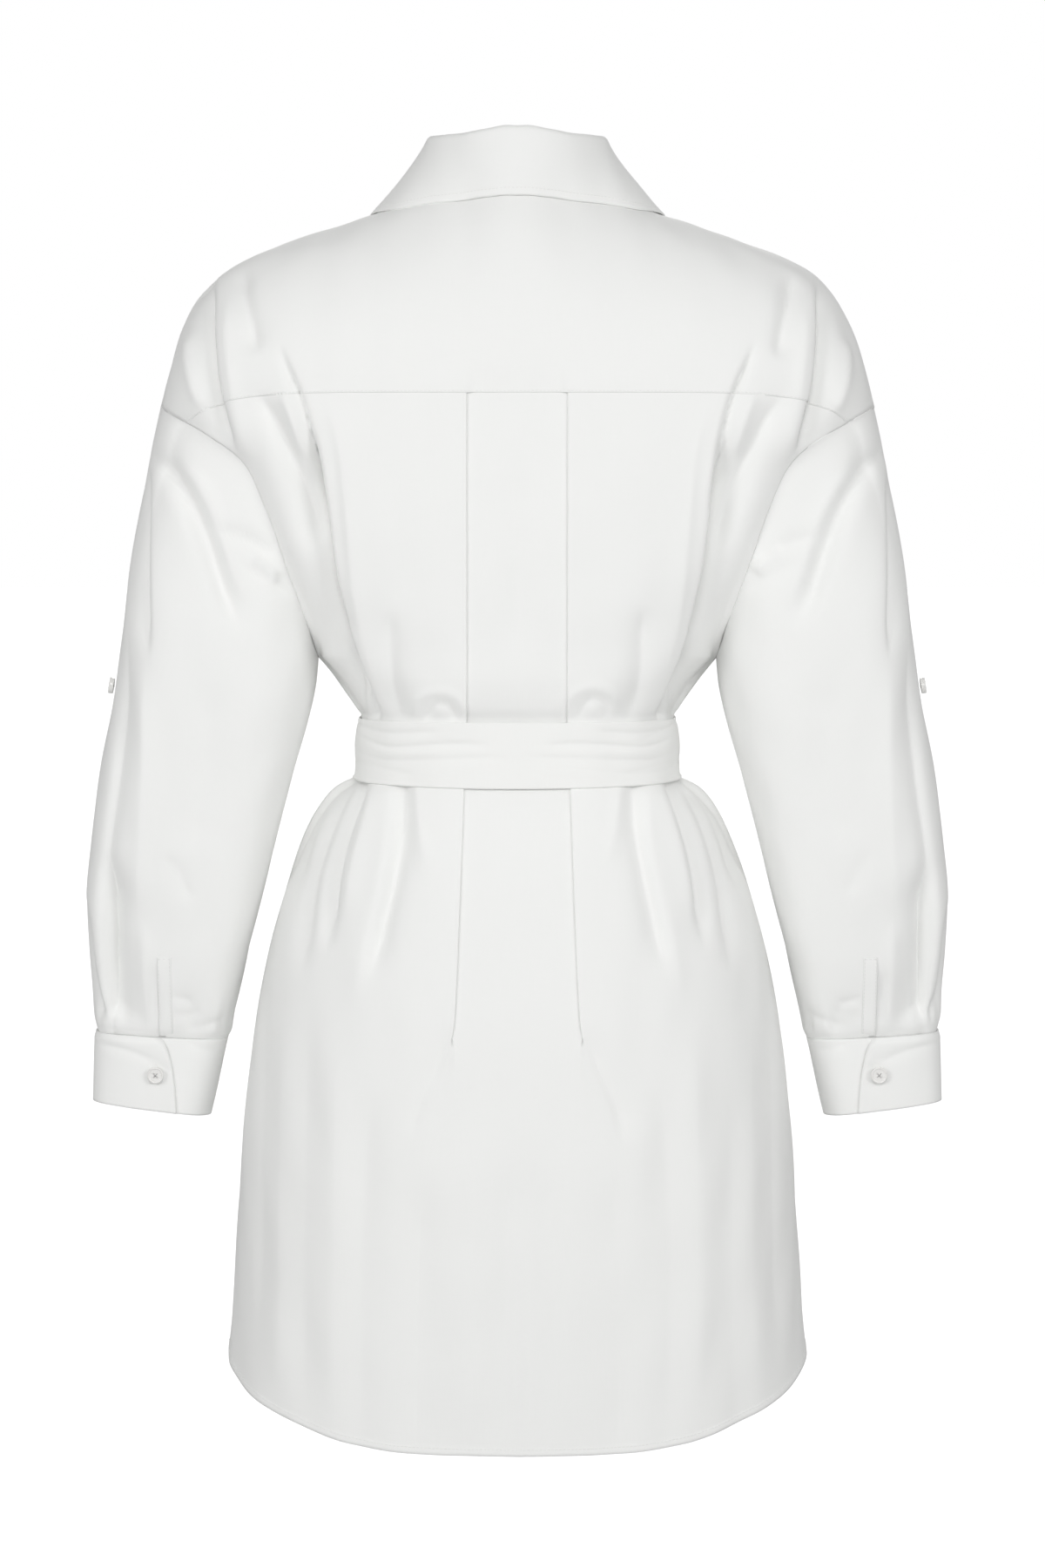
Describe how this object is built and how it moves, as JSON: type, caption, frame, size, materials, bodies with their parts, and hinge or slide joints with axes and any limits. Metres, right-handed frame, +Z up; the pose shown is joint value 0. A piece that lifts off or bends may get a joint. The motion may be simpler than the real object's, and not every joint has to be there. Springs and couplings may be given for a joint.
{
  "type": "shirt dress",
  "caption": "Knee-length cotton shirt dress with a collar, drop-shoulder yoke, two back pleats, buttoned front, cuffed sleeves and a tied sash belt.",
  "frame": {"origin": "on the centre line between the shoulders, at the height of the base of the neck at the back, where the dress is held up when worn", "axes": "+Z up, towards the head; +Y to the back of the dress; +X to the wearer's left"},
  "size_m": [0.6134, 0.2556, 0.9188],
  "materials": {
    "white_cotton": "matt plain-woven cotton poplin",
    "belt_cotton": "matt plain-woven cotton, doubled",
    "button_white": "satin white, slightly pearly"
  },
  "bodies": {
    "root": {"back_yoke": "white_cotton", "back": "white_cotton", "front_left": "white_cotton", "front_right": "white_cotton", "placket_right": "white_cotton", "sleeve_left": "white_cotton", "sleeve_right": "white_cotton", "sleeve_placket_left": "white_cotton", "sleeve_placket_right": "white_cotton", "cuff_left": "white_cotton", "cuff_right": "white_cotton", "collar_stand": "white_cotton", "collar": "white_cotton", "belt": "belt_cotton", "belt_knot": "belt_cotton", "belt_tail_left": "belt_cotton", "belt_tail_right": "belt_cotton", "button_stand": "button_white", "button_front_1": "button_white", "button_front_2": "button_white", "button_front_3": "button_white", "button_front_4": "button_white", "button_front_5": "button_white", "button_front_6": "button_white", "button_front_7": "button_white", "cuff_button_left": "button_white", "cuff_button_right": "button_white", "tab_button_left": "button_white", "tab_button_right": "button_white"}
  },
  "joints": []
}
